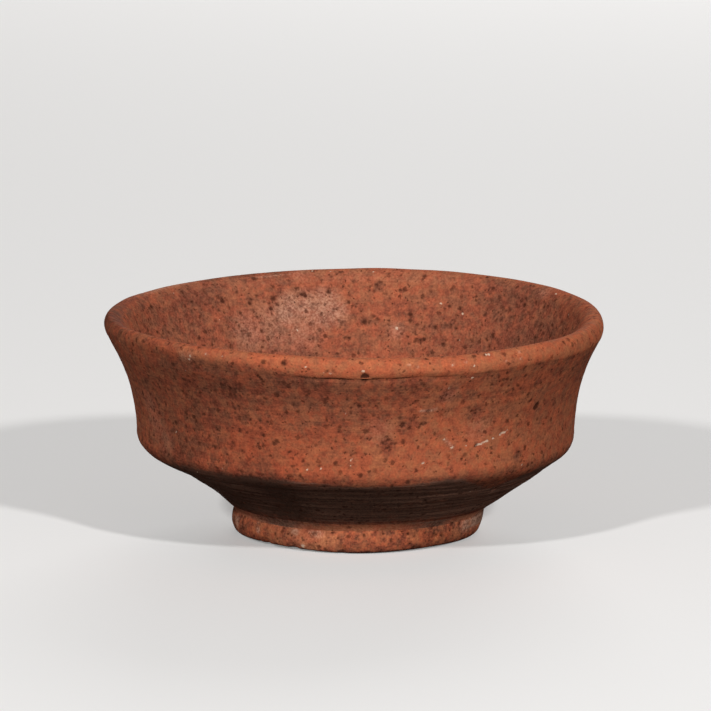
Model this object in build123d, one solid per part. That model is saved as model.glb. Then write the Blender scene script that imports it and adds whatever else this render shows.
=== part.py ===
from build123d import *

import os
from math import cos, radians, sin

# Small carinated bowl of red slip-coated ware, built the way a potter builds it.
#
# A body is thrown and turned in one piece: floor, conical lower wall, a sharp turn (the carination),
# an upright wall that flares, and a rounded lip. A separate ring of clay is stuck under the floor with
# a film of wet slip, which is wiped into a bead round the joint. The bowl is then coated, inside and
# outside, with fine red slip. The lip is left bare, because use has rubbed it through to the clay.
#
# Every piece is a ring of one section, turned about Z. Sections are drawn as (radius, height).
# The origin is the centre of the face that the foot stands on, and +Z is up. Sizes are millimetres.

# Overall
RIM_DIAMETER = 81.4  # widest, across the outside of the lip
HEIGHT = 35.9  # from the foot's resting face to the crest of the lip

# Lip: a round bead on top of the wall
LIP_THICKNESS = 4.2
LIP_OUTER_DROP = 40.0  # degrees below the middle of the lip where the outside of the wall meets it
LIP_INNER_RISE = 28.0  # degrees above the middle of the lip where the inside of the wall runs into it

# Wall: straight above the carination, then flaring to the lip
WALL_THICKNESS = 3.6
WALL_LEAN = 5.7  # degrees outwards from upright, on the straight stretch
WALL_STRAIGHT = 5.1  # height of the straight stretch
CARINATION_DIAMETER = 70.4  # at the sharp corner, before it is rounded
CARINATION_HEIGHT = 14.4
CARINATION_ROUND = 3.0
CARINATION_ROUND_INSIDE = 5.0

# Floor
FLOOR_THICKNESS = 3.9
FLOOR_ROUND = 9.0  # where the floor turns up into the lower wall, inside

# Foot ring
FOOT_DIAMETER = 41.2  # widest, round the bulge
FOOT_HEIGHT = 4.1  # from the resting face to the underside of the floor
FOOT_WIDTH = 4.3  # of the ring's top, across the section
FOOT_BULGE = 0.3  # how far the outside swells past its top edge
FOOT_BULGE_HEIGHT = 2.2
FOOT_UNDERCUT = 0.3  # how far the resting face draws in from the top edge
FOOT_FLARE_INSIDE = 0.7  # how far the ring's hollow widens from its top to the resting face
FOOT_EDGE_ROUND = 0.8
FOOT_LEDGE = 0.3  # how far the ring's top stands out past the underside of the floor

# Slip
COAT_THICKNESS = 0.2
LUTING_THICKNESS = 0.3  # the film between the ring and the floor
LUTING_BEAD = 1.8  # how far the wiped bead runs up the lower wall
LUTING_BEAD_HOLLOW = 0.08
LUTING_BEAD_INSIDE = 0.6

RIM_RADIUS = RIM_DIAMETER / 2
LIP_RADIUS = LIP_THICKNESS / 2
LIP_MIDDLE = Vector(RIM_RADIUS - LIP_RADIUS, HEIGHT - LIP_RADIUS)
FOOT_TOP_RADIUS = FOOT_DIAMETER / 2 - FOOT_BULGE
FOOT_INNER_RADIUS = FOOT_TOP_RADIUS - FOOT_WIDTH
RING_HEIGHT = FOOT_HEIGHT - LUTING_THICKNESS
FLOOR_TOP = FOOT_HEIGHT + FLOOR_THICKNESS

UNDERSIDE_EDGE = Vector(FOOT_TOP_RADIUS - FOOT_LEDGE, FOOT_HEIGHT)
CARINATION = Vector(CARINATION_DIAMETER / 2, CARINATION_HEIGHT)
CONE_RUN = CARINATION - UNDERSIDE_EDGE
CONE_DIRECTION = CONE_RUN.normalized()
CONE_INWARD = Vector(-CONE_DIRECTION.Y, CONE_DIRECTION.X)
WALL_DIRECTION = Vector(sin(radians(WALL_LEAN)), cos(radians(WALL_LEAN)))
WALL_INWARD = Vector(-WALL_DIRECTION.Y, WALL_DIRECTION.X)
WALL_TOP = CARINATION + WALL_DIRECTION * (WALL_STRAIGHT / WALL_DIRECTION.Y)
COAT_FOOT = UNDERSIDE_EDGE + CONE_DIRECTION * LUTING_BEAD


def on_lip(angle):
    """The point of the lip's round at an angle, in degrees up from level, outside being 0."""
    return LIP_MIDDLE + Vector(cos(radians(angle)), sin(radians(angle))) * LIP_RADIUS


LIP_OUTER_EDGE = on_lip(-LIP_OUTER_DROP)
LIP_INNER_EDGE = on_lip(180 - LIP_INNER_RISE)


def carination_at(depth):
    """The wall's corner at a depth below the outer surface: where the lower and upper wall meet there."""
    miter = (CONE_INWARD + WALL_INWARD) / (1 + CONE_INWARD.dot(WALL_INWARD))
    return CARINATION + miter * depth


def wall_top_at(depth):
    """The end of the wall's straight stretch at a depth below the outer surface."""
    return WALL_TOP + WALL_INWARD * depth


def lip_edge_at(depth):
    """The end of the flare at a depth below the outer surface, on the line across the lip's root."""
    return LIP_OUTER_EDGE + (LIP_INNER_EDGE - LIP_OUTER_EDGE) * (depth / WALL_THICKNESS)


def flare_at(depth):
    """The flaring stretch of the wall, from its straight stretch up to the lip."""
    return TangentArc(wall_top_at(depth), lip_edge_at(depth), tangent=WALL_DIRECTION)


def outer_line(depth):
    """The outside of the wall at a depth below its surface, from the coat's lower edge to the lip."""
    lower_wall = FilletPolyline(
        COAT_FOOT + CONE_INWARD * depth,
        carination_at(depth),
        wall_top_at(depth),
        radius=CARINATION_ROUND - depth,
    )
    return lower_wall + flare_at(depth)


def inner_line(cover):
    """The inside of the bowl below a cover of that thickness, from the axis to the lip."""
    depth = WALL_THICKNESS - cover
    floor_height = FLOOR_TOP - cover
    corner = carination_at(depth)
    floor_edge = corner - CONE_DIRECTION * ((corner.Y - floor_height) / CONE_DIRECTION.Y)
    floor_and_wall = FilletPolyline(
        Vector(0, floor_height),
        floor_edge,
        corner,
        wall_top_at(depth),
        radius=[FLOOR_ROUND + cover, CARINATION_ROUND_INSIDE + cover],
    )
    return floor_and_wall + flare_at(depth)


def section(*outline):
    """The face inside a closed outline of curves."""
    return make_face([edge for curve in outline for edge in curve.edges()])


def turned(face):
    """The ring or solid that a section sweeps in one turn about Z."""
    return revolve(Plane.XZ * face, Axis.Z)


def outer_slip_coat():
    """Fired slip over the outside, from the bead round the foot up to the lip."""
    outline = section(
        outer_line(0),
        Line(LIP_OUTER_EDGE, lip_edge_at(COAT_THICKNESS)),
        outer_line(COAT_THICKNESS),
        Line(COAT_FOOT, COAT_FOOT + CONE_INWARD * COAT_THICKNESS),
    )
    return turned(outline)


def inner_slip_coat():
    """Fired slip over the floor and the inside of the wall, up to the lip."""
    outline = section(
        inner_line(0),
        Line(LIP_INNER_EDGE, lip_edge_at(WALL_THICKNESS - COAT_THICKNESS)),
        inner_line(COAT_THICKNESS),
        Line((0, FLOOR_TOP - COAT_THICKNESS), (0, FLOOR_TOP)),
    )
    return turned(outline)


def bowl_body():
    """The thrown body: floor, lower wall, wall and bare lip, less the room that the coats take."""
    lip_crest = on_lip((180 - LIP_INNER_RISE - LIP_OUTER_DROP) / 2)
    coat_foot_below = COAT_FOOT + CONE_INWARD * COAT_THICKNESS
    outline = section(
        Line((0, FLOOR_TOP - COAT_THICKNESS), (0, FOOT_HEIGHT)),
        Polyline((0, FOOT_HEIGHT), UNDERSIDE_EDGE, COAT_FOOT, coat_foot_below),
        outer_line(COAT_THICKNESS),
        Line(lip_edge_at(COAT_THICKNESS), LIP_OUTER_EDGE),
        ThreePointArc(LIP_OUTER_EDGE, lip_crest, LIP_INNER_EDGE),
        Line(LIP_INNER_EDGE, lip_edge_at(WALL_THICKNESS - COAT_THICKNESS)),
        inner_line(COAT_THICKNESS),
    )
    return turned(outline)


def foot_ring():
    """The separate ring that the bowl stands on, swollen outside and flaring a little inside."""
    outer_top = Vector(FOOT_TOP_RADIUS, RING_HEIGHT)
    swell = Vector(FOOT_DIAMETER / 2, FOOT_BULGE_HEIGHT)
    outer_bottom = Vector(FOOT_TOP_RADIUS - FOOT_UNDERCUT, 0)
    inner_bottom = Vector(FOOT_INNER_RADIUS + FOOT_FLARE_INSIDE, 0)
    inner_top = Vector(FOOT_INNER_RADIUS, RING_HEIGHT)
    square_edged = section(
        ThreePointArc(outer_top, swell, outer_bottom),
        Polyline(outer_bottom, inner_bottom, inner_top, outer_top),
    )
    resting_corners = square_edged.vertices().group_by(Axis.Y)[0]
    return turned(fillet(resting_corners, FOOT_EDGE_ROUND))


def luting_slip():
    """The film that sticks the ring to the floor, with a bead wiped up the lower wall and one inside."""
    ring_outer = Vector(FOOT_TOP_RADIUS, RING_HEIGHT)
    ring_inner = Vector(FOOT_INNER_RADIUS, RING_HEIGHT)
    inner_edge = Vector(FOOT_INNER_RADIUS - LUTING_BEAD_INSIDE, FOOT_HEIGHT)
    outline = section(
        SagittaArc(ring_outer, COAT_FOOT, LUTING_BEAD_HOLLOW),
        Polyline(COAT_FOOT, UNDERSIDE_EDGE, inner_edge, ring_inner, ring_outer),
    )
    return turned(outline)


PIECES = {
    "bowl_body": bowl_body,
    "foot_ring": foot_ring,
    "luting_slip": luting_slip,
    "outer_slip_coat": outer_slip_coat,
    "inner_slip_coat": inner_slip_coat,
}

os.makedirs("parts", exist_ok=True)
for name, make in PIECES.items():
    export_step(make(), f"parts/{name}.step")
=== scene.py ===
import random
from math import acos, atan2, ceil, cos, exp, hypot, pi, radians, sin, tan

import bmesh
import bpy
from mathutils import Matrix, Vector, kdtree, noise
from mathutils.bvhtree import BVHTree


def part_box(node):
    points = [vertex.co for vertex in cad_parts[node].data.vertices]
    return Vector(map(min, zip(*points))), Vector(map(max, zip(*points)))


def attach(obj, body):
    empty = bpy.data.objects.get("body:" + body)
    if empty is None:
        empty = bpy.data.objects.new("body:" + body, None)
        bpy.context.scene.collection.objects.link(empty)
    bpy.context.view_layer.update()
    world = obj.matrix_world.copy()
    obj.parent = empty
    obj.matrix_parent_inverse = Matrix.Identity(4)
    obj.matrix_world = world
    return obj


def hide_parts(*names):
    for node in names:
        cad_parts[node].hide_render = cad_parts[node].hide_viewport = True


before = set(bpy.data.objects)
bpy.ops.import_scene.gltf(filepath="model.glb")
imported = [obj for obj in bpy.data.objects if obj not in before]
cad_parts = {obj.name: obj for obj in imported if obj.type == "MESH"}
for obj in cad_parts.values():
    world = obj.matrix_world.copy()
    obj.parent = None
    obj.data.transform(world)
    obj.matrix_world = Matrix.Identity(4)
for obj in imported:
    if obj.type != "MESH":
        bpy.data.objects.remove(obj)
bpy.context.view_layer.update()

# Camera
# It stands where the photograph was taken from: in front of the bowl, a good metre away, looking a
# little down. A pixel of the picture can be traced back from it to a place on the bowl.
MM = 0.001
PICTURE = 711
SENSOR = 36.0
FOCAL_PIXELS = 7785
CAMERA_PLACE = Vector((0, -1246.0, 262.6)) * MM
CAMERA_DROP = radians(10.626)
CAMERA_YAW = radians(0.006)

scene = bpy.context.scene
camera_data = bpy.data.cameras.new("camera")
camera_data.sensor_width = SENSOR
camera_data.lens = FOCAL_PIXELS * SENSOR / PICTURE
camera = bpy.data.objects.new("camera", camera_data)
camera.location = CAMERA_PLACE
camera.rotation_euler = (pi / 2 - CAMERA_DROP, 0, CAMERA_YAW)
scene.collection.objects.link(camera)
scene.camera = camera


def sight_line(across, down):
    """The direction from the camera through a pixel of the picture."""
    ray = Vector((across - PICTURE / 2, PICTURE / 2 - down, -FOCAL_PIXELS))
    ray.rotate(camera.rotation_euler)
    return ray.normalized()


# Thrown body
# One lump of clay thrown and turned on the wheel: floor, lower wall, wall and rounded lip. Only the lip
# and the underside within the foot show bare, because slip covers the rest.
body_low, body_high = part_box("bowl_body")
RIM_RADIUS = body_high.x
HEIGHT = body_high.z
UNDERSIDE = body_low.z
UNDERSIDE_EDGE = Vector((20.0 * MM, UNDERSIDE))
UNDERSIDE_SHOWN = 15.6 * MM
FLOOR = 3.9 * MM
CARINATION = Vector((35.2, 14.4)) * MM
WALL = 3.6 * MM
WALL_LEAN = radians(5.7)
WALL_STRAIGHT = 5.1 * MM
LIP_RADIUS = 2.1 * MM
LIP_OUTER_DROP = radians(40)
LIP_INNER_RISE = radians(28)
UNDER_SLIP = 0.5 * MM
LIP_ROW = 0.2 * MM

CONE_DIRECTION = (CARINATION - UNDERSIDE_EDGE).normalized()
CONE_INWARD = Vector((-CONE_DIRECTION.y, CONE_DIRECTION.x))
WALL_DIRECTION = Vector((sin(WALL_LEAN), cos(WALL_LEAN)))
WALL_INWARD = Vector((-WALL_DIRECTION.y, WALL_DIRECTION.x))
WALL_TOP = CARINATION + WALL_DIRECTION * (WALL_STRAIGHT / WALL_DIRECTION.y)
LIP_MIDDLE = Vector((RIM_RADIUS - LIP_RADIUS, HEIGHT - LIP_RADIUS))
LIP_OUTER_EDGE = LIP_MIDDLE + Vector((cos(LIP_OUTER_DROP), -sin(LIP_OUTER_DROP))) * LIP_RADIUS
LIP_INNER_EDGE = LIP_MIDDLE + Vector((-cos(LIP_INNER_RISE), sin(LIP_INNER_RISE))) * LIP_RADIUS


def carination_at(depth):
    """The wall's corner at a depth below the outer surface."""
    return CARINATION + (CONE_INWARD + WALL_INWARD) * (depth / (1 + CONE_INWARD.dot(WALL_INWARD)))


def wall_top_at(depth):
    """The end of the wall's straight stretch at a depth below the outer surface."""
    return WALL_TOP + WALL_INWARD * depth


def lip_edge_at(depth):
    """A place on the line across the lip's root, at a depth below the outer surface."""
    return LIP_OUTER_EDGE.lerp(LIP_INNER_EDGE, depth / WALL)


def floor_edge_at(cover):
    """The corner of floor and lower wall inside the bowl, below a cover of that thickness."""
    corner = carination_at(WALL - cover)
    return corner - CONE_DIRECTION * ((corner.y - UNDERSIDE - FLOOR + cover) / CONE_DIRECTION.y)


class Section:
    """The outline of a piece cut through its axis, drawn stretch by stretch and then turned about Z.

    Each point carries its skin: 1 where the surface shows, 0 on a seam or against another piece.
    """

    SECTORS = 20
    SECTOR_STEPS = 40
    HIDDEN_ROW = 4 * MM

    def __init__(self, place, row, skin=0.0):
        self.row = row
        self.heading = None
        self.mesh = bmesh.new()
        self.skin = self.mesh.verts.layers.float.new("skin")
        self.seam = self.mesh.verts.layers.float.new("seam")
        self.first = self.end = self.mesh.verts.new((place.x, 0, place.y))
        self.end[self.skin] = skin

    def place(self):
        return Vector((self.end.co.x, self.end.co.z))

    def line(self, place, skin=0.0):
        """A straight stretch to a place."""
        run = place - self.place()
        self.heading = run.normalized()
        self.sweep(run.length, skin, along=run)

    def arc(self, place, skin=0.0, leave=None, arrive=None):
        """A round stretch to a place, in the heading of the last stretch unless another is given."""
        chord = place - self.place()
        heading = leave or self.heading
        if arrive:
            heading = 2 * chord.dot(arrive) / chord.length_squared * chord - arrive
        side = Vector((-heading.y, heading.x))
        radius = chord.length_squared / (2 * chord.dot(side))
        turn = 2 * atan2(chord.dot(side), chord.dot(heading))
        self.heading = 2 * chord.dot(heading) / chord.length_squared * chord - heading
        self.sweep(abs(radius * turn), skin, centre=self.place() + side * radius, turn=turn)

    def bend(self, corner, onward, radius, skin=0.0):
        """A straight stretch to near a corner, and the round that turns it towards a place onward."""
        heading = (corner - self.place()).normalized()
        leaving = (onward - corner).normalized()
        back = radius * tan(acos(heading.dot(leaving)) / 2)
        self.line(corner - heading * back, skin)
        self.arc(corner + leaving * back, skin)

    def sweep(self, length, skin, along=Vector((0, 0)), centre=Vector((0, 0)), turn=0.0):
        """Draws one stretch by sweeping the last point, in rows that are close where the surface shows."""
        known = len(self.mesh.verts)
        rows = max(1, ceil(length / (self.row if skin else self.HIDDEN_ROW)))
        made = bmesh.ops.spin(
            self.mesh,
            geom=[self.end],
            cent=(centre.x, 0, centre.y),
            axis=(0, -1, 0),
            dvec=(along.x / rows, 0, along.y / rows),
            angle=turn,
            steps=rows,
        )
        self.end = made["geom_last"][0]
        self.mesh.verts.ensure_lookup_table()
        for vert in self.mesh.verts[known:]:
            vert[self.skin] = skin
            vert[self.seam] = 0.0

    def meet(self):
        """Marks the last point drawn as a seam, where this piece meets the next."""
        self.end[self.skin] = 0.0
        self.end[self.seam] = 1.0

    def turned(self, closed=True):
        """The ring or solid that the section sweeps in one turn, with its seams kept as sharp edges."""
        mesh = self.mesh
        if closed:
            mesh.edges.new((self.end, self.first))
        sector = 2 * pi / self.SECTORS
        turn = {"cent": (0, 0, 0), "axis": (0, 0, 1)}
        outline = mesh.verts[:] + mesh.edges[:]
        bmesh.ops.spin(mesh, geom=outline, angle=sector, steps=self.SECTOR_STEPS, **turn)
        slice_of_piece = mesh.verts[:] + mesh.edges[:] + mesh.faces[:]
        copies = self.SECTORS - 1
        bmesh.ops.spin(
            mesh, geom=slice_of_piece, angle=sector * copies, steps=copies, use_duplicate=True, **turn
        )
        bmesh.ops.remove_doubles(mesh, verts=mesh.verts, dist=0.01 * MM)
        bmesh.ops.recalc_face_normals(mesh, faces=mesh.faces)
        for face in mesh.faces:
            face.smooth = True
        for edge in mesh.edges:
            if all(vert[self.seam] for vert in edge.verts):
                edge.smooth = False
        return mesh


# Uneven throwing, turning and drying: how far the finished bowl strays from a true turned shape.
# A pair of values is the stretch of heights, radii or angles in which a stray sets in or dies away.
RIM_LIFT = 0.38 * MM
RIM_BACK_HIGH = 0.29 * MM
RIM_LEFT_HIGH = 0.19 * MM
RIM_TWIST = 0.3 * MM
RIM_SADDLE = 0.1 * MM
RIM_SWAY = -0.42 * MM
LUMP = 0.16 * MM
LUMP_LENGTH = 22 * MM
HAND_RIPPLE = 0.06 * MM
HAND_RIPPLE_LENGTH = 4.5 * MM
HAND_RIPPLE_START = (0.2 * MM, 2 * MM)

FOOT_SWAY = 0.3 * MM
FOOT_WEAR_LEFT = 0.42 * MM
FOOT_WEAR_RIGHT = 0.22 * MM
FOOT_WEAR_END = (0, 2 * MM)
FOOT_HOLLOW_RADIUS = 16 * MM
FOOT_SLANT_RIGHT = 0.9 * MM
FOOT_RIGHT_START = (0, 0.8)
FOOT_RIGHT_END = (1.6, 2.6)
FOOT_SLANT_MIDDLE = 0.55
FOOT_SLANT_END = (3.5 * MM, 8 * MM)
FOOT_SWELL_LEFT = 0.2 * MM
FOOT_SWELL_HEIGHT = 1.7 * MM
FOOT_SWELL_REACH = 1.2 * MM
FOOT_NIP_LEFT = 0.3 * MM
FOOT_NIP_HEIGHT = 4.3 * MM
FOOT_NIP_REACH = 0.6 * MM

CONE_HOLLOW = 0.18 * MM
CONE_HOLLOW_LEFT = 0.56 * MM
CONE_HOLLOW_HEIGHT = 8.8 * MM
CONE_HOLLOW_REACH = 3.4 * MM
CONE_HOLLOW_START = (2 * MM, 5 * MM)
CONE_SKIN = (-3.0 * MM, -1.2 * MM)
CARINATION_SPREAD = 0.22 * MM
CARINATION_SPREAD_HEIGHT = 14.6 * MM
CARINATION_SPREAD_TILT = 0.8 * MM
CARINATION_SPREAD_REACH = 1.8 * MM
WALL_SPREAD = 0.15 * MM
WALL_SPREAD_START = (13 * MM, 15 * MM)
WALL_SPREAD_END = (31 * MM, 34 * MM)

LIP_RIPPLE = 0.12 * MM
LIP_RIPPLE_LENGTH = 9 * MM
LIP_SLACK = 0.5 * MM
LIP_SLACK_HEIGHT = 33 * MM
LIP_SLACK_REACH = 1.3 * MM
LIP_OUTER_FACE = (38 * MM, 39.5 * MM)
LIP_EDGE_RISE = 0.4 * MM
LIP_EDGE_WAVE = 0.16 * MM
LIP_EDGE_WAVE_LENGTH = 3.5 * MM
LIP_EDGE_REACH = 0.9 * MM
LIP_RISE_RIGHT = 0.36 * MM
LIP_RISE_START = (27 * MM, 33 * MM)
LIP_SLOPE = 0.3
LIP_SLOPE_LEFT = 0.35
LIP_SLOPE_START = (24 * MM, 34 * MM)
CREST_INSET = 1.2 * MM
CREST_INSET_TOP = 0.2 * MM
CREST_INSET_CHANGE = (31.5 * MM, 34 * MM)


def ramp(value, low, high):
    """0 up to a low value, 1 from a high one, and a smooth rise between them."""
    share = min(1, max(0, (value - low) / (high - low)))
    return share * share * (3 - 2 * share)


def bell(value, middle, reach):
    """1 at a middle value, falling away on both sides over a reach."""
    return exp(-(((value - middle) / reach) ** 2))


def about(angle, middle, reach):
    """1 at an angle round the bowl, falling away on both sides over a reach, both in degrees."""
    return bell(angle, radians(middle), radians(reach))


def angle_of(place):
    """The angle of a place round the bowl: 0 in front, a quarter turn on the right."""
    return atan2(place.x, -place.y)


def outer_radius(height):
    """The radius of the outside of the wall where it flares, and of the lip's edge above that."""
    rise = min(height, LIP_OUTER_EDGE.y) - WALL_TOP.y
    run = LIP_OUTER_EDGE - WALL_TOP
    straight = rise * tan(WALL_LEAN)
    return WALL_TOP.x + straight + (run.x - run.y * tan(WALL_LEAN)) * (rise / run.y) ** 2


def slackness(angle):
    """How far the roll of the lip is lost, by angle: plump in front and on the right, slack on the left."""
    return about(angle, -50, 28)


def lip_rise(angle):
    """How far the lip stands high in front on the right."""
    return LIP_RISE_RIGHT * about(angle, 45, 19)


def making_stray(place, angle, radius):
    """How far outwards and up the rim's tilt and twist, the lumps and the ripples move a place."""
    above_foot = ramp(place.z, UNDERSIDE, CARINATION.y)
    above_turn = ramp(place.z, CARINATION.y, HEIGHT)
    tilt = -(RIM_BACK_HIGH * cos(angle) + RIM_LEFT_HIGH * sin(angle)) * radius / RIM_RADIUS
    twist = RIM_SADDLE * cos(2 * angle) - RIM_TWIST * sin(2 * angle)
    twist += LIP_RIPPLE * noise.noise(place / LIP_RIPPLE_LENGTH)
    outward = LUMP * noise.noise(place / LUMP_LENGTH) * above_foot
    outward += HAND_RIPPLE * noise.noise(place / HAND_RIPPLE_LENGTH) * ramp(place.z, *HAND_RIPPLE_START)
    return outward, RIM_LIFT * place.z / HEIGHT + tilt * above_foot + twist * above_turn


def foot_stray(place, angle, radius):
    """How far outwards and up the foot strays: slanted on the right, nipped on the left, worn below."""
    worn = FOOT_WEAR_LEFT * about(angle, -45, 30) + FOOT_WEAR_RIGHT * about(angle, 35, 26)
    lift = worn * (1 - ramp(place.z, *FOOT_WEAR_END))
    if radius <= FOOT_HOLLOW_RADIUS:
        return 0, lift
    left = max(0, -sin(angle)) ** 2
    right = ramp(angle, *FOOT_RIGHT_START) * (1 - ramp(angle, *FOOT_RIGHT_END))
    low = 1 - ramp(place.z, *FOOT_SLANT_END)
    outward = FOOT_SLANT_RIGHT * right * low * (place.z / UNDERSIDE - FOOT_SLANT_MIDDLE)
    outward += FOOT_SWELL_LEFT * left * bell(place.z, FOOT_SWELL_HEIGHT, FOOT_SWELL_REACH)
    outward -= FOOT_NIP_LEFT * left * bell(place.z, FOOT_NIP_HEIGHT, FOOT_NIP_REACH)
    return outward, lift


def wall_spread(place, angle):
    """How far the wall stands wide, and the carination spreads on the two sides."""
    spread_height = CARINATION_SPREAD_HEIGHT - CARINATION_SPREAD_TILT * sin(angle)
    spread = sin(angle) ** 2 * bell(place.z, spread_height, CARINATION_SPREAD_REACH)
    wide = ramp(place.z, *WALL_SPREAD_START) * (1 - ramp(place.z, *WALL_SPREAD_END))
    return CARINATION_SPREAD * spread + WALL_SPREAD * wide


def lip_stray(place, angle, radius):
    """How far outwards and up the lip strays: slack on the left, high on the right, sloping inwards."""
    roll = bell(place.z, LIP_SLACK_HEIGHT, LIP_SLACK_REACH) * ramp(radius, *LIP_OUTER_FACE)
    edge = LIP_EDGE_RISE * about(angle, 15, 9)
    edge += LIP_EDGE_WAVE * noise.noise(place / LIP_EDGE_WAVE_LENGTH)
    lift = edge * bell(place.z, LIP_OUTER_EDGE.y, LIP_EDGE_REACH)
    lift += lip_rise(angle) * ramp(place.z, *LIP_RISE_START)
    inset = CREST_INSET + (CREST_INSET_TOP - CREST_INSET) * ramp(place.z, *CREST_INSET_CHANGE)
    slope = LIP_SLOPE + LIP_SLOPE_LEFT * about(angle, -95, 40)
    slope *= ramp(place.z, *LIP_SLOPE_START)
    lift -= slope * max(0, outer_radius(place.z) - inset - radius)
    return -LIP_SLACK * slackness(angle) * roll, lift


def cone_hollow(place, angle, radius):
    """How far the outside of the lower wall is hollowed: most on the left."""
    cone_radius = UNDERSIDE_EDGE.x + (place.z - UNDERSIDE) * CONE_DIRECTION.x / CONE_DIRECTION.y
    on_cone = exp(-(((place.z - CONE_HOLLOW_HEIGHT) / CONE_HOLLOW_REACH) ** 4))
    on_cone *= ramp(radius - cone_radius, *CONE_SKIN) * ramp(place.z, *CONE_HOLLOW_START)
    return (CONE_HOLLOW - CONE_HOLLOW_LEFT * sin(angle)) * on_cone


def thrown(place):
    """Where throwing, turning and drying left a place of the true turned bowl."""
    angle = angle_of(place)
    radius = hypot(place.x, place.y)
    outward = wall_spread(place, angle)
    lift = 0
    for stray in (making_stray, foot_stray, lip_stray):
        more_outward, more_lift = stray(place, angle, radius)
        outward += more_outward
        lift += more_lift
    sway = FOOT_SWAY + (RIM_SWAY - FOOT_SWAY) * place.z / HEIGHT
    direction = Vector((sin(angle), -cos(angle), 0))
    into_cone = direction * CONE_INWARD.x + Vector((0, 0, CONE_INWARD.y))
    hollow = cone_hollow(place, angle, radius)
    return place + Vector((sway, 0, lift)) + direction * outward + into_cone * hollow


class Surface:
    """The surface of a piece that shows, and the pits, spots and specks that are put on it.

    A share of each shade is kept for each point, and the clay's colour reads them: deep for a thick slip
    and for painted shade, ruddy for a redder one, soot for grey-brown soot and painted shade,
    bloom for a chalky veil, dark and pale for single spots, and dark also for painted shade in the crease.
    """

    SHADES = ("deep", "ruddy", "soot", "bloom", "dark", "pale")

    def __init__(self, section, mesh):
        self.mesh = mesh
        self.skin = section.skin
        self.layers = {shade: mesh.verts.layers.float.new(shade) for shade in self.SHADES}
        for vert in mesh.verts:
            vert.co = thrown(vert.co)
        mesh.normal_update()
        self.shown = [vert for vert in mesh.verts if vert[self.skin]]
        self.start = [vert.co.copy() for vert in self.shown]
        self.facing = [vert.normal.copy() for vert in self.shown]
        self.near = kdtree.KDTree(len(self.shown))
        for index, place in enumerate(self.start):
            self.near.insert(place, index)
        self.near.balance()
        self.rays = BVHTree.FromBMesh(mesh)

    def texture(self, height_of):
        """Raises or sinks each point that shows by a height worked out from its place."""
        for vert, place, facing in zip(self.shown, self.start, self.facing):
            vert.co += facing * height_of(place)

    def tint(self, **shares):
        """Shades each point, seams included, by shares worked out from its place."""
        for shade, share_of in shares.items():
            for vert in self.mesh.verts:
                vert[self.layers[shade]] = share_of(vert.co)

    def mark(self, place, reach, depth=0.0, **shades):
        """Presses a soft-edged pit of that depth and reach, and shades it."""
        for _, index, distance in self.near.find_range(place, reach):
            share = (1 - (distance / reach) ** 2) ** 2
            vert = self.shown[index]
            vert.co -= self.facing[index] * depth * share
            for shade, amount in shades.items():
                vert[self.layers[shade]] = max(vert[self.layers[shade]], amount * share)

    def mark_seen(self, across, down, reach, **look):
        """Marks the place that the picture shows at a pixel."""
        place = self.rays.ray_cast(CAMERA_PLACE, sight_line(across, down))[0]
        if place:
            self.mark(place, reach, **look)

    def marks_seen(self, marks, **look):
        """Marks each place of a list: the pixel across, the pixel down and the reach in millimetres."""
        for across, down, reach in marks:
            self.mark_seen(across, down, reach * MM, **look)

    def streak_seen(self, start, end, reach, **look):
        """Marks a thin streak between two pixels of the picture."""
        steps = 16
        for step in range(steps + 1):
            share = step / steps
            across, down = Vector(start).lerp(Vector(end), share)
            self.mark_seen(across, down, reach * (0.65 + 0.35 * sin(pi * share)), **look)

    def cluster_seen(self, across, down, spread, **look):
        """Marks a loose cluster of small spots about a pixel of the picture."""
        chance = random.Random(across + PICTURE * down)
        for _ in range(round(2 * spread)):
            place = across + chance.gauss(0, spread), down + chance.gauss(0, 0.8 * spread)
            self.mark_seen(*place, chance.uniform(0.3, 0.65) * MM, **look)

    def scatter(self, count, seed, reach, depth, **look):
        """Marks places chosen at random, evenly over the surface, between two reaches and two depths."""
        chance = random.Random(seed)
        while count:
            place = chance.choice(self.start)
            if chance.random() > hypot(place.x, place.y) / RIM_RADIUS:
                continue
            size = chance.random() ** 2
            share = 0.5 + 0.5 * chance.random()
            shades = {shade: amount * share for shade, amount in look.items()}
            self.mark(
                place,
                reach[0] + (reach[1] - reach[0]) * size,
                depth=depth[0] + (depth[1] - depth[0]) * size,
                **shades,
            )
            count -= 1


def node(tree, kind, inputs=None, **settings):
    """A shader node with its settings, whose inputs are set to values or linked to other nodes."""
    made = tree.nodes.new("ShaderNode" + kind)
    for name, value in settings.items():
        setattr(made, name, value)
    for name, value in (inputs or {}).items():
        if isinstance(value, bpy.types.NodeSocket):
            tree.links.new(value, made.inputs[name])
        else:
            made.inputs[name].default_value = value
    return made


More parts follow.
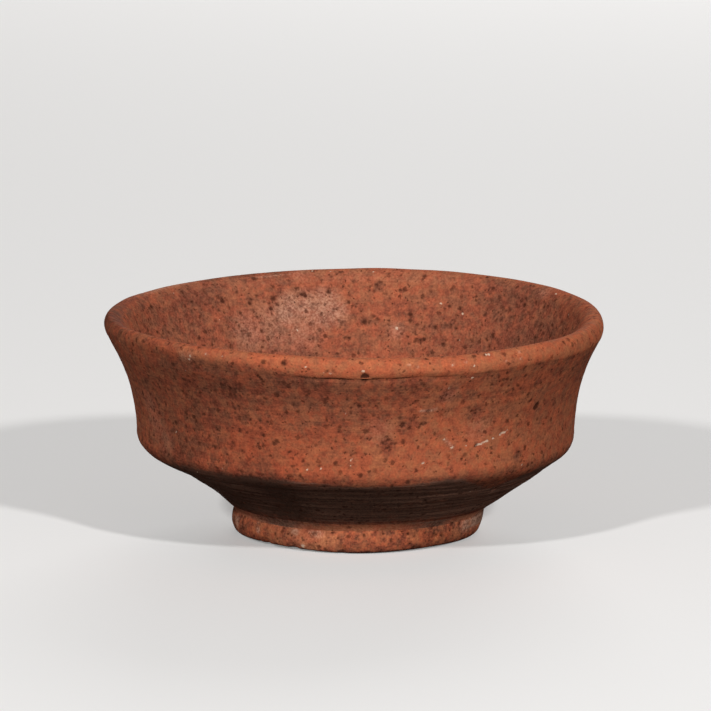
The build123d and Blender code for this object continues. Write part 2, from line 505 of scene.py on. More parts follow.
def fired_clay(name, streaks=0.2, mottling=0.85):
    """Fired red clay: mottled colour, burnt flecks, pale grit, wheel streaks and a grainy matt surface."""
    tones = [
        (0.00, (0.080, 0.0258, 0.0162, 1)),
        (0.25, (0.205, 0.0630, 0.0360, 1)),
        (0.50, (0.370, 0.1048, 0.0508, 1)),
        (0.75, (0.475, 0.1377, 0.0610, 1)),
        (1.00, (0.600, 0.1967, 0.0910, 1)),
    ]
    redder = (1.05, 0.93, 0.91, 1)
    browner = (0.95, 1.07, 1.06, 1)
    rust = (1.01, 0.87, 0.84, 1)
    smoke_and_shade = (0.078, 0.0400, 0.0280, 1)
    ash = (0.235, 0.1190, 0.0820, 1)
    chalk = (0.560, 0.3200, 0.2200, 1)
    burnt = (0.065, 0.0200, 0.0115, 1)
    grit = (0.640, 0.4300, 0.3100, 1)
    fleck_strength = 0.78
    gloss = 0.004

    material = bpy.data.materials.new(name)
    material.use_nodes = True
    tree = material.node_tree
    shader = tree.nodes["Principled BSDF"]

    def noise_of(vector, scale, detail, rough):
        inputs = {"Vector": vector, "Scale": scale, "Detail": detail, "Roughness": rough}
        return node(tree, "TexNoise", inputs).outputs[0]

    def math(operation, *values):
        return node(tree, "Math", dict(enumerate(values)), operation=operation).outputs[0]

    def spread(value, low, high, to_low=0.0, to_high=1.0):
        inputs = {"Value": value, "From Min": low, "From Max": high, "To Min": to_low, "To Max": to_high}
        return node(tree, "MapRange", inputs, interpolation_type="SMOOTHSTEP").outputs[0]

    def mix(share, a, b, blend="MIX"):
        return node(tree, "Mix", {0: share, 6: a, 7: b}, data_type="RGBA", blend_type=blend).outputs[2]

    def shade(name):
        return node(tree, "Attribute", attribute_name=name).outputs["Fac"]

    def specks(vector, scale, share, small, large):
        cells = node(tree, "TexVoronoi", {"Vector": vector, "Scale": scale})
        chance = node(tree, "SeparateColor", {0: cells.outputs["Color"]})
        size = spread(chance.outputs[1], 0, 1, small, large)
        spot = spread(cells.outputs["Distance"], size, math("MULTIPLY", size, 0.35))
        return math("MULTIPLY", spot, math("GREATER_THAN", chance.outputs[0], 1 - share))

    here = node(tree, "TexCoord").outputs["Object"]
    in_mm = node(tree, "VectorMath", {0: here, "Scale": 1000.0}, operation="SCALE").outputs[0]
    wobble = node(tree, "TexNoise", {"Vector": in_mm, "Scale": 1.6, "Detail": 2.0}).outputs["Color"]
    shifted = {0: wobble, 1: (0.8, 0.8, 0.8), 2: in_mm}
    ragged = node(tree, "VectorMath", shifted, operation="MULTIPLY_ADD").outputs[0]
    flat = node(tree, "Mapping", {"Vector": in_mm, "Scale": (0.05, 0.05, 2.4)}).outputs[0]

    cloud = noise_of(in_mm, 0.14, 2.0, 0.5)
    mottle = noise_of(in_mm, 0.75, 2.5, 0.8)
    grain = noise_of(in_mm, 3.0, 2.0, 0.7)
    streak = noise_of(flat, 1.0, 4.0, 0.7)
    patchy = noise_of(ragged, 0.5, 4.0, 0.75)

    # Light and deep clay
    tone = math("MULTIPLY_ADD", mottle, mottling, 0.75 - 0.5 * mottling)
    tone = math("MULTIPLY_ADD", math("SUBTRACT", cloud, 0.5), 0.25, tone)
    tone = math("MULTIPLY_ADD", math("SUBTRACT", streak, 0.5), streaks, tone)
    deep = math("MULTIPLY", shade("deep"), spread(patchy, 0.3, 0.7, 0.9, 1.1))
    tone = math("MULTIPLY_ADD", deep, -0.5, tone)
    scale = node(tree, "ValToRGB", {0: tone})
    for place, _ in tones[1:-1]:
        scale.color_ramp.elements.new(place)
    for element, (place, colour) in zip(scale.color_ramp.elements, tones):
        element.position = place
        element.color = colour
    hue = mix(spread(noise_of(ragged, 0.45, 3.0, 0.7), 0.4, 0.6), redder, browner)
    colour = mix(1.0, scale.outputs[0], hue, "MULTIPLY")
    colour = mix(shade("ruddy"), colour, rust, "MULTIPLY")

    # Soot and painted shade, bloom, flecks, grit and single spots
    # The grey-brown is soot and also painted shade on the cone and at the ends of the wall and the foot;
    # where deep is high, as in the painted shade under the carination, it keeps its darker tone.
    sooty = math("ADD", shade("soot"), math("SUBTRACT", math("ADD", patchy, streak), 1.0))
    ashen = math("MULTIPLY", spread(streak, 0.42, 0.6), spread(shade("deep"), 0.95, 1.3, 1.0, 0.0))
    grey_brown = mix(ashen, smoke_and_shade, ash)
    colour = mix(spread(sooty, 0.3, 0.8, 0.0, 0.9), colour, grey_brown)
    powder = math("MULTIPLY_ADD", grain, 0.5, math("MULTIPLY", mottle, 0.5))
    veil = math("MULTIPLY", shade("bloom"), spread(powder, 0.38, 0.62, 0.3, 1.0))
    colour = mix(veil, colour, chalk)
    large_flecks = specks(ragged, 0.75, 0.75, 0.16, 0.46)
    fleck = math("MAXIMUM", large_flecks, specks(ragged, 1.5, 0.4, 0.14, 0.40))
    fleck = math("MULTIPLY", fleck, spread(patchy, 0.36, 0.56, 0.55, 1.0))
    colour = mix(math("MULTIPLY", fleck, fleck_strength), colour, burnt)
    colour = mix(specks(in_mm, 1.1, 0.015, 0.08, 0.16), colour, grit)
    uneven = math("MULTIPLY_ADD", noise_of(in_mm, 1.8, 2.0, 0.7), 1.2, -0.6)
    colour = mix(spread(math("ADD", shade("pale"), uneven), 0.25, 0.65), colour, grit)
    spot = math("MULTIPLY_ADD", uneven, 0.6, shade("dark"))
    colour = mix(spread(spot, 0.15, 0.95, 0.0, 0.96), colour, burnt)
    lightness = spread(grain, 0.25, 0.75, 0.9, 1.1)
    colour = node(tree, "VectorMath", {0: colour, "Scale": lightness}, operation="SCALE").outputs[0]

    # Grain, streaks and pits under the light
    relief = math("MULTIPLY_ADD", grain, 0.45, math("MULTIPLY", mottle, 0.7))
    relief = math("MULTIPLY_ADD", streak, streaks, relief)
    relief = math("MULTIPLY_ADD", fleck, -0.4, relief)
    bump = node(tree, "Bump", {"Strength": 0.5, "Distance": 0.13 * MM, "Height": relief})

    tree.links.new(colour, shader.inputs["Base Color"])
    tree.links.new(spread(mottle, 0.3, 0.7, 0.74, 0.94), shader.inputs["Roughness"])
    tree.links.new(bump.outputs[0], shader.inputs["Normal"])
    shader.inputs["Specular IOR Level"].default_value = gloss
    return material


def set_piece(section, name, material):
    """Makes a finished piece's object, which stands for the node of its name and rides on the bowl."""
    mesh = section.mesh
    shares = mesh.verts.layers.float
    for name_of_share in ("skin", "seam"):
        shares.remove(shares[name_of_share])
    data = bpy.data.meshes.new(name)
    mesh.to_mesh(data)
    mesh.free()
    data.materials.append(material)
    piece = bpy.data.objects.new(name + "_piece", data)
    scene.collection.objects.link(piece)
    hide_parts(name)
    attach(piece, "root")


section = Section(Vector((0, UNDERSIDE)), row=LIP_ROW * 2, skin=1.0)
section.line(Vector((UNDERSIDE_SHOWN, UNDERSIDE)), skin=1.0)
section.row = LIP_ROW
section.line(UNDERSIDE_EDGE)
section.line(carination_at(UNDER_SLIP))
section.line(wall_top_at(UNDER_SLIP))
section.arc(lip_edge_at(UNDER_SLIP))
section.line(LIP_OUTER_EDGE)
section.meet()
section.arc(LIP_INNER_EDGE, skin=1.0, leave=Vector((sin(LIP_OUTER_DROP), cos(LIP_OUTER_DROP))))
section.meet()
section.line(lip_edge_at(WALL - UNDER_SLIP))
section.arc(wall_top_at(WALL - UNDER_SLIP), arrive=-WALL_DIRECTION)
section.line(carination_at(WALL - UNDER_SLIP))
section.line(floor_edge_at(UNDER_SLIP))
section.line(Vector((0, UNDERSIDE + FLOOR - UNDER_SLIP)))
surface = Surface(section, section.turned(closed=False))

# Marks that the picture shows, here and on the other pieces: pixel across, pixel down, reach in
# millimetres. A streak has two pixels, its start and its end. A cluster has a spread in pixels.
LIP_DARK_SPOTS = [
    (283.5, 363, 0.9), (225, 343, 0.35), (181, 349, 0.4), (302, 372, 0.3), (151.8, 306.5, 0.8),
    (149.5, 312.5, 0.6), (146, 315, 0.4), (180.5, 347, 0.4), (128, 338, 0.35), (156, 348, 0.35),
    (274, 356, 0.35), (188, 343.5, 0.3),
]
LIP_PALE_SPECKS = [
    (363, 371, 0.45), (489, 354.5, 0.5), (486, 354.6, 0.45), (189, 359, 0.4), (190, 356, 0.4),
    (556, 294, 0.4), (373, 272, 0.35), (312, 271, 0.35), (223, 356, 0.3), (305, 367, 0.32),
]
LIP_FAINT_SPECKS = [
    (519.5, 352, 0.4), (521, 358.5, 0.4), (409, 365, 0.4), (453, 365, 0.4), (331, 373, 0.4),
    (418, 367, 0.35), (466, 362, 0.4), (206, 354, 0.4), (506, 361, 0.4), (577, 331, 0.4),
]
LIP_BLOOM = [
    (183, 356, 1.4), (545, 291, 3.0), (300, 271, 4.0), (190, 357, 1.4),
]
LIP_CHALK_STREAK = ((249, 278), (290, 274))
LIP_BURNT_SPOT = [(365, 377, 1.1)]


def inside_depth_and_shade(place):
    """How deep the colour lies inside: deepest on the two sides and near the lip on the two sides, which is
    painted shade, and a little worn towards the lip.
    """
    angle = angle_of(place)
    # Painted shade on the two sides, and near the lip on the sides.
    sides = about(angle, 125, 38) + 0.6 * about(angle, -125, 38)
    high = ramp(place.z, 30 * MM, 34 * MM)
    rim = 0.14 * about(abs(angle), 128, 18) - 0.06 * about(angle, -98, 22)
    rim += 0.05 * about(angle, -150, 18)
    return 0.73 + 0.2 * sides - 0.12 * about(angle, 160, 14) + (rim - 0.1) * high


def lip_depth_and_shade(place):
    """Worn light on top and deeper inside towards the slip. Below the roll, most on the slack left side,
    it is deeper, partly slip and partly painted shade, and at both ends deeper as painted shade.
    """
    if place.z < CARINATION.y:
        return 0.6
    angle = angle_of(place)
    # Below this edge the lip is deeper, partly slip and partly painted shade.
    edge = 32.2 * MM + 1.9 * MM * slackness(angle) + 1.1 * MM * about(angle, -23, 13)
    edge += 1.3 * lip_rise(angle)
    worn = 0.28 + 0.22 * slackness(angle) + 0.08 * about(abs(angle), 180, 50)
    # Painted shade at the lip's two ends.
    worn += 0.82 * about(angle, -95, 32) + 0.24 * about(angle, 95, 26)
    worn += 0.58 * about(angle, -150, 16)
    below = 0.84
    worn += (below - worn) * (1 - ramp(place.z, edge - 0.4 * MM, edge + 0.7 * MM))
    inside = ramp(LIP_MIDDLE.x - hypot(place.x, place.y), -1.0 * MM, 1.85 * MM)
    return worn + (inside_depth_and_shade(place) - worn) * inside


def rim_bloom(place):
    """Chalky on the far side, most so along the outer edge at the back on the left."""
    angle = angle_of(place)
    edge = ramp(hypot(place.x, place.y), 38.8 * MM, 39.8 * MM)
    return 0.1 * about(abs(angle), 180, 60) + 0.45 * edge * about(angle, -128, 13)


surface.tint(deep=lip_depth_and_shade, bloom=rim_bloom)
surface.scatter(260, 11, reach=(0.3 * MM, 0.5 * MM), depth=(0.03 * MM, 0.1 * MM), dark=0.7)
surface.scatter(30, 21, reach=(0.2 * MM, 0.3 * MM), depth=(-0.01 * MM, -0.03 * MM), pale=0.75)
surface.marks_seen(LIP_DARK_SPOTS, depth=0.16 * MM, dark=1.0)
surface.marks_seen(LIP_PALE_SPECKS, depth=-0.05 * MM, pale=0.85)
surface.marks_seen(LIP_FAINT_SPECKS, pale=0.4, bloom=0.5)
surface.marks_seen(LIP_BLOOM, bloom=0.25)
surface.streak_seen(*LIP_CHALK_STREAK, 0.4 * MM, bloom=0.6)
surface.marks_seen(LIP_BURNT_SPOT, depth=0.2 * MM, dark=1.6)
set_piece(section, "bowl_body", fired_clay("bare clay"))


# Foot ring
# A ring of the same clay, stuck under the floor once both had stiffened. It shows bare, as it was held
# by the foot when the bowl was dipped in slip.
_, foot_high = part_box("foot_ring")
FOOT_RADIUS = foot_high.x
RING_HEIGHT = foot_high.z
FOOT_BULGE = Vector((FOOT_RADIUS, 2.2 * MM))
FOOT_TOP = Vector((FOOT_RADIUS - 0.3 * MM, RING_HEIGHT))
FOOT_INNER_TOP = FOOT_TOP - Vector((4.3 * MM, 0))
FOOT_OUTER_BOTTOM = Vector((FOOT_TOP.x - 0.3 * MM, 0))
FOOT_INNER_BOTTOM = Vector((FOOT_INNER_TOP.x + 0.7 * MM, 0))
FOOT_EDGE_ROUND = 0.8 * MM
FOOT_ROW = 0.22 * MM

section = Section(FOOT_INNER_TOP, row=FOOT_ROW)
section.meet()
section.bend(FOOT_INNER_BOTTOM, FOOT_OUTER_BOTTOM, FOOT_EDGE_ROUND, skin=1.0)
section.bend(FOOT_OUTER_BOTTOM, FOOT_BULGE, FOOT_EDGE_ROUND, skin=1.0)
section.arc(FOOT_TOP, skin=1.0)
section.meet()
surface = Surface(section, section.turned())

FOOT_DARK_SPOTS = [
    (284, 527.5, 0.7), (333, 532, 0.7), (364, 535.5, 0.6), (277, 524, 0.6), (402, 531, 0.6),
    (288, 534, 0.45), (383, 534, 0.5), (408, 534, 0.6), (338, 538, 0.4), (410, 544, 0.5),
]
FOOT_PALE_SPOTS = [
    (295, 531, 1.3), (303, 546, 0.7), (371, 530, 1.2), (340, 529, 1.2), (260, 521, 0.8),
    (474, 517, 3.0), (466, 523, 2.5), (237, 522, 1.6), (316, 530, 2.2), (258, 530, 0.8),
]
FOOT_CHIPS = [
    (266, 541, 1.2), (293, 546.5, 1.4), (311, 548, 1.0), (342, 550, 1.2),
]
FOOT_GRIT = [(303, 546, 0.5)]


def foot_depth_and_shade(place):
    """Deeper along the resting edge, in front, on the right and at the left end. Along the resting edge,
    on the right and at the left end it is painted shade, most of all low down at the right end.
    """
    angle = angle_of(place)
    # Painted shade on the right and at the left end.
    right = about(angle, 50, 25)
    left = about(angle, -80, 28)
    middle = about(angle, 9, 17)
    # Painted shade low down, along the resting edge and low at the right end.
    low = 1 - ramp(place.z, 0.3 * MM, 1.6 * MM)
    edge = 1 - ramp(place.z, 0.1 * MM, 0.7 * MM)
    heel = about(angle, 68, 12) * (1 - ramp(place.z, 1.2 * MM, 2.6 * MM))
    worn = about(angle, -18, 7)
    depth = 0.36 + 0.35 * low + 0.5 * edge + 0.38 * middle + 0.26 * right + 0.48 * left
    return depth + 0.3 * heel - 0.3 * worn


def foot_soot(place):
    """Grey-brown at both ends, which is painted shade, and along the top in front on the left."""
    angle = angle_of(place)
    # Painted shade at both ends.
    left = about(angle, -92, 27)
    right = about(angle, 84, 24) * ramp(place.z, 1.0 * MM, 2.6 * MM)
    high = about(angle, -36, 12) * ramp(place.z, 3.1 * MM, 3.9 * MM)
    return 0.6 * left + 1.2 * right + 0.5 * high


def foot_bloom(place):
    """Chalky high at the right end, and a little in front on the left."""
    angle = angle_of(place)
    right = about(angle, 74, 17) * ramp(place.z, 1.0 * MM, 2.6 * MM)
    return 0.36 * right + 0.12 * about(angle, -25, 14)


surface.tint(deep=foot_depth_and_shade, soot=foot_soot, bloom=foot_bloom)
surface.scatter(170, 12, reach=(0.3 * MM, 0.7 * MM), depth=(0.03 * MM, 0.12 * MM), dark=0.8)
surface.marks_seen(FOOT_DARK_SPOTS, depth=0.12 * MM, dark=0.9)
surface.marks_seen(FOOT_PALE_SPOTS, bloom=0.75)
surface.marks_seen(FOOT_CHIPS, depth=0.28 * MM)
surface.marks_seen(FOOT_GRIT, pale=1.0)
set_piece(section, "foot_ring", fired_clay("foot clay", mottling=1.7))


# Luting
# The film of wet clay that sticks the ring to the floor. What squeezed out was wiped with a finger into
# a bead round the joint, which is grey-brown and deep in front on both sides, like the lower wall.
_, bead_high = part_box("luting_slip")
COAT_FOOT = Vector((bead_high.x, bead_high.z))
BEAD_INNER = FOOT_INNER_TOP + Vector((-0.6 * MM, UNDERSIDE - RING_HEIGHT))
BEAD_LEAVE = Vector((0.55, 0.835))
BEAD_ROW = 0.15 * MM

section = Section(FOOT_TOP, row=BEAD_ROW)
section.meet()
section.arc(COAT_FOOT, skin=1.0, leave=BEAD_LEAVE)
section.meet()
section.line(UNDERSIDE_EDGE)
section.line(BEAD_INNER)
section.meet()
section.line(FOOT_INNER_TOP, skin=1.0)
section.meet()
surface = Surface(section, section.turned())


def bead_dark(angle):
    """The stretches of the bead, in front on both sides, that are as dark as the cone."""
    return about(angle, -37, 13) + 0.9 * about(angle, 36, 13)


def luting_depth_and_shade(place):
    """Light, but deep at the left end, which is painted shade, and where the bead is dark."""
    angle = angle_of(place)
    return 0.12 + 0.4 * about(angle, -70, 30) + 0.95 * bead_dark(angle)


def bead_chalky(angle):
    """The right end of the bead, which is chalky and free of soot."""
    return about(angle, 74, 15)


def luting_soot(place):
    """Grey-brown towards the cone, and all over where the bead is dark."""
    angle = angle_of(place)
    dark = bead_dark(angle)
    high = ramp(place.z, RING_HEIGHT + 0.5 * MM, COAT_FOOT.y - 0.2 * MM)
    elsewhere = (1 - dark) * (1 - bead_chalky(angle)) * high
    return 0.7 * dark + (0.25 + 0.3 * about(angle, -17, 7)) * elsewhere


def luting_bloom(place):
    """Faintly chalky all over, and more so at the right end."""
    return 0.22 + 0.4 * bead_chalky(angle_of(place))


surface.tint(deep=luting_depth_and_shade, soot=luting_soot, bloom=luting_bloom)
set_piece(section, "luting_slip", fired_clay("luting clay"))


# Outer slip
# Fine red slip over the outside, from the bead round the foot up to the lip. It is darker below the lip
# than above the carination, partly a thicker slip and partly painted shade. The turning tool left lines
# in the cone.
COAT_ROW = 0.36 * MM
COAT_BACK = UNDER_SLIP - 0.05 * MM
CARINATION_ROUND = 4.0 * MM

section = Section(COAT_FOOT, row=COAT_ROW)
section.meet()
section.bend(CARINATION, WALL_TOP, CARINATION_ROUND, skin=1.0)
section.line(WALL_TOP, skin=1.0)
section.arc(LIP_OUTER_EDGE, skin=1.0)
section.meet()
section.line(lip_edge_at(COAT_BACK))
section.arc(wall_top_at(COAT_BACK), arrive=-WALL_DIRECTION)
section.line(carination_at(COAT_BACK))
section.line(COAT_FOOT + CONE_INWARD * COAT_BACK)
surface = Surface(section, section.turned())

WHEEL_LINE = 0.035 * MM
WHEEL_LINE_STEP = 0.8 * MM
TURNING_LINE = 0.07 * MM
CREASE_DEPTH = 0.36 * MM
CREASE_REACH = 0.55 * MM
OUTER_DARK_SPOTS = [
    (364.5, 380, 0.9), (462, 459, 0.5), (196, 421, 0.6), (359, 406, 0.7), (355, 404, 0.5),
    (187, 418, 0.4), (217, 430, 0.5), (182, 392, 0.5), (211, 391, 0.4), (495, 489, 0.6),
    (452, 472, 0.4), (413, 404, 0.4), (472, 411, 0.5), (546, 434, 0.4), (519, 452, 0.5),
    (293, 405, 0.5), (257, 410, 0.5), (270, 456, 0.5), (303, 461, 0.5), (227, 404, 0.4),
    (376, 406, 0.45), (388, 440, 0.6), (387, 448, 0.5), (403, 424, 0.6), (422, 424, 0.6),
    (347, 399.5, 0.5), (350.5, 413, 0.5), (402, 426.6, 0.5), (410, 428, 0.5), (389.5, 450, 0.5),
    (553.7, 405, 0.5), (500, 382, 0.5), (492, 385, 0.45), (529.7, 402, 0.45), (369.5, 439.4, 0.4),
    (187.4, 376, 0.5), (164.4, 403, 0.45), (208.8, 410.6, 0.45), (238.6, 406.7, 0.5),
    (250, 420, 0.5), (257.8, 444, 0.4), (306, 396, 0.5), (295, 455.7, 0.4), (345, 453.4, 0.45),
    (351, 455.7, 0.4),
]
OUTER_PALE_SPECKS = [
    (452, 447, 0.5), (443.5, 439.5, 0.35), (466, 445.5, 0.4), (351, 460, 0.38), (423, 463, 0.33),
    (307, 470, 0.38), (321, 468, 0.3), (449, 388, 0.35), (335, 395, 0.3), (222, 470, 0.3),
]
OUTER_CLUSTERS = [
    (190, 391, 7), (247, 380, 8), (408, 425, 7), (388, 447, 6), (366, 408, 7), (445, 396, 6),
    (216, 452, 8), (243, 420, 6), (517, 456, 5), (538, 382, 6), (556, 398, 5), (232, 392, 7),
    (474, 412, 5), (416, 388, 7), (164, 384, 5),
]
OUTER_BLOOM = [
    (150, 405, 4.0), (156, 424, 5.0), (165, 440, 4.0), (380, 432, 3.5), (478, 430, 3.5),
    (450, 393, 2.5),
]
OUTER_BRIGHT_SPECK = [(493, 438, 0.36)]
OUTER_SCRATCHES = [((475, 446), (488.5, 440.6), 0.34), ((499, 435), (507.5, 430.4), 0.36)]
# Start, end, reach and share of bloom
OUTER_CHALK_STREAKS = [
    ((444, 439), (453, 447), 0.4, 0.6),
    ((420, 411.5), (437, 409), 0.36, 0.9),
    ((291, 494), (325, 494.4), 0.4, 0.6),
    ((300, 505), (314, 505), 0.45, 0.5),
    ((233, 485), (245, 486), 0.45, 0.5),
    ((465, 498.5), (475, 497), 0.4, 0.6),
    ((489, 493), (498, 490.5), 0.4, 0.6),
]
# Start and end, or one pixel, then reach, depth and share of the dark shade
OUTER_CUTS = [((149, 428), (150, 444), 0.4, 0.03, 0.9), ((255, 373), (264, 382), 0.45, 0.02, 1.2)]
OUTER_PITS = [(495.5, 488.4, 0.6, 0.2, 1.0), (536, 407, 0.9, 0.2, 1.6), (537.2, 404.6, 0.8, 0.1, 1.6)]


def crease(angle):
    """How sharply the lip overhangs the wall, by angle: a fold in front that fades out to the right."""
    fold = ramp(angle, radians(-20), radians(-6)) * (1 - ramp(angle, radians(30), radians(150)))
    return fold * (0.8 + 0.9 * noise.noise(Vector((11 * sin(angle), 11 * cos(angle), 0))))


def wheel_height(place):
    """Lines of the wheel on the wall, deeper lines of the turning tool on the cone, and the crease."""
    angle = angle_of(place)
    depth = TURNING_LINE if place.z < CARINATION.y - 1 * MM else WHEEL_LINE
    wander = 0.25 * noise.noise(Vector((sin(angle), cos(angle), place.z * 60)) * 2)
    line = noise.noise(Vector((wander, 0, place.z / WHEEL_LINE_STEP + wander)))
    below_lip = place.z - LIP_OUTER_EDGE.y - lip_rise(angle)
    fold = CREASE_DEPTH * crease(angle) * ramp(below_lip, -CREASE_REACH, 0.2 * MM)
    return depth * line - fold


def wall_sides(angle):
    """The two ends of the wall as seen from the camera, which painted shade darkens."""
    return about(abs(angle), 88, 24)


def outer_depth_and_shade(place):
    """Deeper below the lip, on the left and on the cone, and lighter low on the right: partly a deeper
    slip, partly painted shade under the lip, at the wall's ends, under the carination and on the left,
    and painted light low on the right.
    """
    angle = angle_of(place)
    below_lip = ramp(place.z, 18 * MM, 29 * MM)
    # Painted shade on the left and painted light low on the right, for light falling more from the right.
    left = about(angle, -50, 20) * (1 - 0.7 * below_lip)
    right = about(angle, 26, 22)
    # Partly a smear and partly painted shadow of the lip.
    smear_and_shade = about(angle, -5, 22) * bell(place.z, 30.4 * MM, 1.9 * MM)
    low_left = about(angle, -23, 8) * (1 - ramp(place.z, 17.5 * MM, 21 * MM))
    # Painted shade at the wall's two ends.
    sides = (0.14 + 0.06 * about(angle, -88, 24)) * wall_sides(angle)
    # Painted shade at the turn under the carination and over the cone below it.
    cone = (1 - 0.5 * about(angle, -40, 14)) * (1 - ramp(place.z, 14.0 * MM, 16.6 * MM))
    low_cone = about(angle, -32, 12) * (1 - ramp(place.z, 7 * MM, 9 * MM))
    # Painted shade along the carination's lower edge.
    brink = about(angle, 25, 8) + 0.7 * about(angle, -31, 10)
    brink *= bell(place.z, CARINATION.y, 1.2 * MM)
    # Partly a smear and partly painted shadow just under the lip.
    under = about(angle, -13, 14) * bell(place.z, 31.7 * MM, 0.8 * MM)
    patch = about(angle, -31, 6) * bell(place.z, 29.8 * MM, 2.2 * MM)
    patch += 0.7 * about(angle, 2, 7) * bell(place.z, 26.5 * MM, 1.5 * MM)
    depth = 0.53 + 0.26 * below_lip + 0.38 * left - 0.2 * right + sides
    depth += 0.1 * smear_and_shade + 0.1 * under + 0.35 * patch
    return depth + 0.3 * low_left + 0.4 * cone + 0.2 * low_cone + 0.5 * brink


def soot_top(angle):
    """The height at which the cone's grey-brown of soot and painted shade ends, which wanders about
    the carination.
    """
    # The top follows the edge of the shade under the carination.
    top = 14.25 + 1.0 * about(angle, -26, 16) + 0.8 * about(angle, -50, 12) - 1.6 * about(angle, -78, 12)
    return (top + 0.75 * about(angle, 25, 7) - 2.5 * about(angle, 43, 9)) * MM


def outer_soot(place):
    """Grey-brown over the cone up to the carination, soot and painted shade, and faintly on both ends of
    the wall, where it is painted shade.
    """
    angle = angle_of(place)
    top = soot_top(angle)
    cone = 1 - ramp(place.z, top - 0.7 * MM, top + 0.7 * MM)
    cone *= 1 - 0.12 * about(angle, 70, 20)
    cone *= 0.5 + 0.5 * ramp(place.z, 5.0 * MM, 6.6 * MM)
    # The faint grey-brown on the wall's two ends is painted shade.
    return 0.78 * cone + 0.4 * wall_sides(angle) * (1 - cone)


def outer_rust(place):
    """Redder low on the wall, in front on the left."""
    low = ramp(place.z, 13.4 * MM, 14.4 * MM) * (1 - ramp(place.z, 20 * MM, 26 * MM))
    return 0.9 * low * about(angle_of(place), -24, 20)


def crease_painted_shade(place):
    """Painted shade in the crease under the lip."""
    angle = angle_of(place)
    return 0.5 * crease(angle) * ramp(place.z - lip_rise(angle), 32.3 * MM, 32.9 * MM)


def outer_bloom(place):
    """A dusty cone in front."""
    return 0.2 * about(angle_of(place), 2, 26) * (1 - ramp(place.z, 12 * MM, 13.6 * MM))


surface.texture(wheel_height)
surface.tint(
    deep=outer_depth_and_shade,
    soot=outer_soot,
    ruddy=outer_rust,
    bloom=outer_bloom,
    dark=crease_painted_shade,
)
surface.scatter(1100, 13, reach=(0.3 * MM, 0.7 * MM), depth=(0.03 * MM, 0.14 * MM), dark=0.85)
surface.scatter(14, 14, reach=(0.22 * MM, 0.32 * MM), depth=(0, 0), pale=0.7)
surface.marks_seen(OUTER_DARK_SPOTS, depth=0.18 * MM, dark=1.0)
surface.marks_seen(OUTER_PALE_SPECKS, pale=0.8)
for across, down, spread in OUTER_CLUSTERS:
    surface.mark_seen(across, down, 0.6 * spread * MM, deep=0.95, soot=0.12)
    surface.cluster_seen(across, down, spread, depth=0.05 * MM, dark=0.7)
surface.marks_seen(OUTER_BLOOM, bloom=0.15)
surface.marks_seen(OUTER_BRIGHT_SPECK, pale=0.9)
for start, end, reach in OUTER_SCRATCHES:
    surface.streak_seen(start, end, reach * MM, depth=0.03 * MM, pale=0.9)
for start, end, reach, share in OUTER_CHALK_STREAKS:
    surface.streak_seen(start, end, reach * MM, bloom=share)
for start, end, reach, depth, share in OUTER_CUTS:
    surface.streak_seen(start, end, reach * MM, depth=depth * MM, dark=share)
for across, down, reach, depth, share in OUTER_PITS:
    surface.mark_seen(across, down, reach * MM, depth=depth * MM, dark=share)
set_piece(section, "outer_slip_coat", fired_clay("outer slip", streaks=0.38))


# Inner slip
# The same slip over the floor and the inside of the wall, up to the lip, with a chalky bloom of lime
# on the far wall.
FLOOR_ROUND = 9.0 * MM
CARINATION_ROUND_INSIDE = 5.0 * MM
INNER_FLOOR_ROW = 0.8 * MM
INNER_WALL_ROW = 0.42 * MM

section = Section(Vector((0, UNDERSIDE + FLOOR)), row=INNER_FLOOR_ROW, skin=1.0)
section.bend(floor_edge_at(0), carination_at(WALL), FLOOR_ROUND, skin=1.0)
section.bend(carination_at(WALL), wall_top_at(WALL), CARINATION_ROUND_INSIDE, skin=1.0)
section.row = INNER_WALL_ROW
section.line(wall_top_at(WALL), skin=1.0)
section.arc(LIP_INNER_EDGE, skin=1.0)
section.meet()
section.line(lip_edge_at(WALL - COAT_BACK))
section.arc(wall_top_at(WALL - COAT_BACK), arrive=-WALL_DIRECTION)
section.line(carination_at(WALL - COAT_BACK))
section.line(floor_edge_at(COAT_BACK))
section.line(Vector((0, UNDERSIDE + FLOOR - COAT_BACK)))
surface = Surface(section, section.turned(closed=False))

INNER_DARK_SPOTS = [
    (273, 298, 1.0), (271, 308.5, 0.7), (272, 314, 0.5), (302, 294, 0.8), (306, 296, 0.7),
    (329, 292, 0.8), (151.4, 306, 1.5), (349, 338, 0.6), (420.6, 340, 0.8), (364.6, 321.5, 0.9),
    (443, 344, 0.7), (460, 308.5, 0.7), (449, 306, 0.6), (410, 314, 0.8), (400, 290, 0.6),
    (487, 309, 0.5), (524, 305, 0.7), (435, 327, 0.7), (456, 328, 0.6), (486, 339, 0.6),
    (349, 302, 0.6), (192, 301, 0.7), (223, 301, 0.8), (250, 303, 0.7), (241, 313, 0.6),
]
INNER_PALE_SPECKS = [
    (396.5, 328, 0.5), (441, 303.5, 0.35), (463, 313.5, 0.4), (569, 314, 0.35), (297, 330, 0.35),
]
INNER_BLOOM = [
    (286, 314, 4.0), (305, 306, 4.5), (325, 304, 4.5), (318, 312, 5.0), (290, 304, 3.5),
    (335, 312, 3.5),
]
INNER_HAZE = [
    (275, 326, 7.0), (300, 328, 7.0), (250, 332, 6.0), (284, 318, 5.0), (396, 331, 2.5),
]
INNER_CLUSTERS = [
    (498, 303, 7), (508, 311, 6), (379, 287, 6), (362, 320, 5), (421, 339, 4), (487, 283, 5),
    (530, 314, 5), (445, 325, 6), (222, 303, 6), (303, 294, 4), (318, 289, 5),
]
INNER_DUST = 0.05

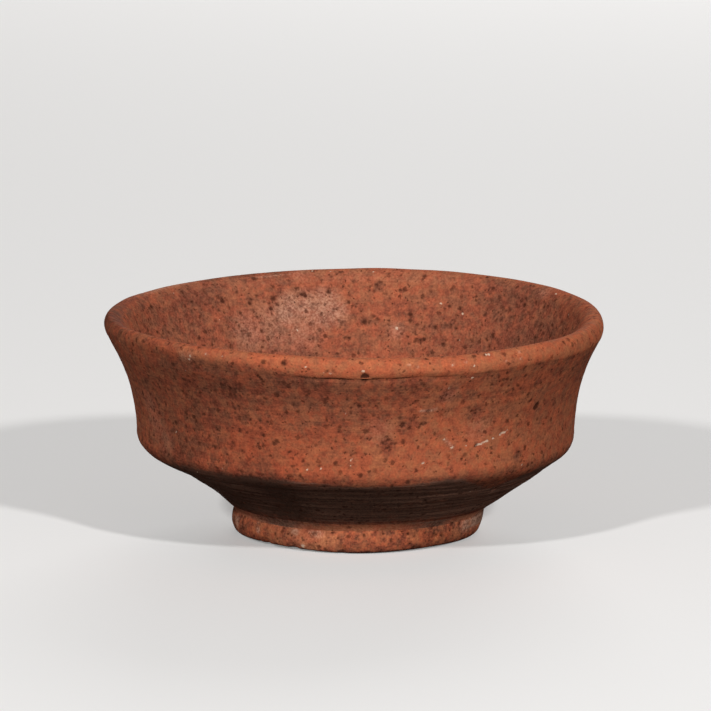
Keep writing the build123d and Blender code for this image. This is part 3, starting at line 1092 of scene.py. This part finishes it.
surface.texture(lambda place: WHEEL_LINE * noise.noise(Vector((0.3, 0, place.z / WHEEL_LINE_STEP))))
surface.tint(deep=inside_depth_and_shade, bloom=lambda place: INNER_DUST)
surface.scatter(1100, 15, reach=(0.35 * MM, 0.85 * MM), depth=(0.03 * MM, 0.14 * MM), dark=0.85)
surface.scatter(14, 16, reach=(0.24 * MM, 0.34 * MM), depth=(0, 0), pale=0.7)
surface.marks_seen(INNER_DARK_SPOTS, depth=0.18 * MM, dark=1.0)
surface.marks_seen(INNER_PALE_SPECKS, pale=0.9)
surface.marks_seen(INNER_BLOOM, bloom=0.58)
surface.marks_seen(INNER_HAZE, bloom=0.33)
for across, down, spread in INNER_CLUSTERS:
    surface.mark_seen(across, down, 0.5 * spread * MM, deep=0.95, soot=0.1)
    surface.cluster_seen(across, down, spread, depth=0.05 * MM, dark=0.65)
set_piece(section, "inner_slip_coat", fired_clay("inner slip"))


# Stage
# A plain pale floor, which throws little light back up, two soft lamps in front, left and right, a weaker
# one behind, and a little light from all round.
FLOOR_SEEN = (0.62, 0.61, 0.60, 1)
FLOOR_BOUNCE = (0.075, 0.075, 0.075, 1)
FLOOR_GLOW = 0.36
FLOOR_ROUGHNESS = 0.9
FLOOR_HALF_WIDTH = 3
KEY_HEIGHT = radians(30.3)
KEY_SIDE = radians(32)
KEY_DISTANCE = 1.4
KEY_SIZE = 0.09
LEFT_KEY_POWER = 11.4
RIGHT_KEY_POWER = 12.6
BACK_HEIGHT = radians(18)
BACK_SIDE = radians(170)
BACK_SIZE = 0.8
BACK_POWER = 9.0
ROUND_LIGHT = 0.06
BACKDROP_SEEN = 0.8

floor_mesh = bmesh.new()
bmesh.ops.create_grid(floor_mesh, x_segments=1, y_segments=1, size=FLOOR_HALF_WIDTH)
floor_data = bpy.data.meshes.new("floor")
floor_mesh.to_mesh(floor_data)
floor_mesh.free()
floor = bpy.data.objects.new("floor", floor_data)
scene.collection.objects.link(floor)


def seen_directly(tree):
    """1 for what the camera, a reflection or glass shows, and 0 for light thrown on to other things."""
    path = node(tree, "LightPath").outputs
    seen = node(tree, "Math", {0: path["Is Camera Ray"], 1: path["Is Glossy Ray"]}, operation="MAXIMUM")
    rays = {0: seen.outputs[0], 1: path["Is Transmission Ray"]}
    return node(tree, "Math", rays, operation="MAXIMUM").outputs[0]


floor_material = bpy.data.materials.new("pale floor")
floor_material.use_nodes = True
tree = floor_material.node_tree
seen = seen_directly(tree)
shader = tree.nodes["Principled BSDF"]
shade = node(tree, "Mix", {0: seen, 6: FLOOR_BOUNCE, 7: FLOOR_SEEN}, data_type="RGBA").outputs[2]
glow = node(tree, "Math", {0: seen, 1: FLOOR_GLOW}, operation="MULTIPLY").outputs[0]
tree.links.new(shade, shader.inputs["Base Color"])
tree.links.new(glow, shader.inputs["Emission Strength"])
shader.inputs["Emission Color"].default_value = FLOOR_SEEN
shader.inputs["Roughness"].default_value = FLOOR_ROUGHNESS
floor_data.materials.append(floor_material)


def soft_lamp(name, side, height, distance, size, power):
    """A round lamp that faces the bowl from a side and a height."""
    data = bpy.data.lights.new(name, "AREA")
    data.shape = "DISK"
    data.size = size
    data.energy = power
    lamp = bpy.data.objects.new(name, data)
    lamp.location = Vector((sin(side) * cos(height), -cos(side) * cos(height), sin(height))) * distance
    lamp.rotation_euler = (pi / 2 - height, 0, side)
    scene.collection.objects.link(lamp)


soft_lamp("left key", -KEY_SIDE, KEY_HEIGHT, KEY_DISTANCE, KEY_SIZE, LEFT_KEY_POWER)
soft_lamp("right key", KEY_SIDE, KEY_HEIGHT, KEY_DISTANCE, KEY_SIZE, RIGHT_KEY_POWER)
soft_lamp("back", BACK_SIDE, BACK_HEIGHT, KEY_DISTANCE, BACK_SIZE, BACK_POWER)

world = bpy.data.worlds.new("world")
world.use_nodes = True
scene.world = world
tree = world.node_tree
levels = {"Value": seen_directly(tree), "To Min": ROUND_LIGHT, "To Max": BACKDROP_SEEN}
strength = node(tree, "MapRange", levels).outputs[0]
tree.links.new(strength, tree.nodes["Background"].inputs["Strength"])
tree.nodes["Background"].inputs["Color"].default_value = (1, 1, 1, 1)

scene.view_settings.view_transform = "Standard"
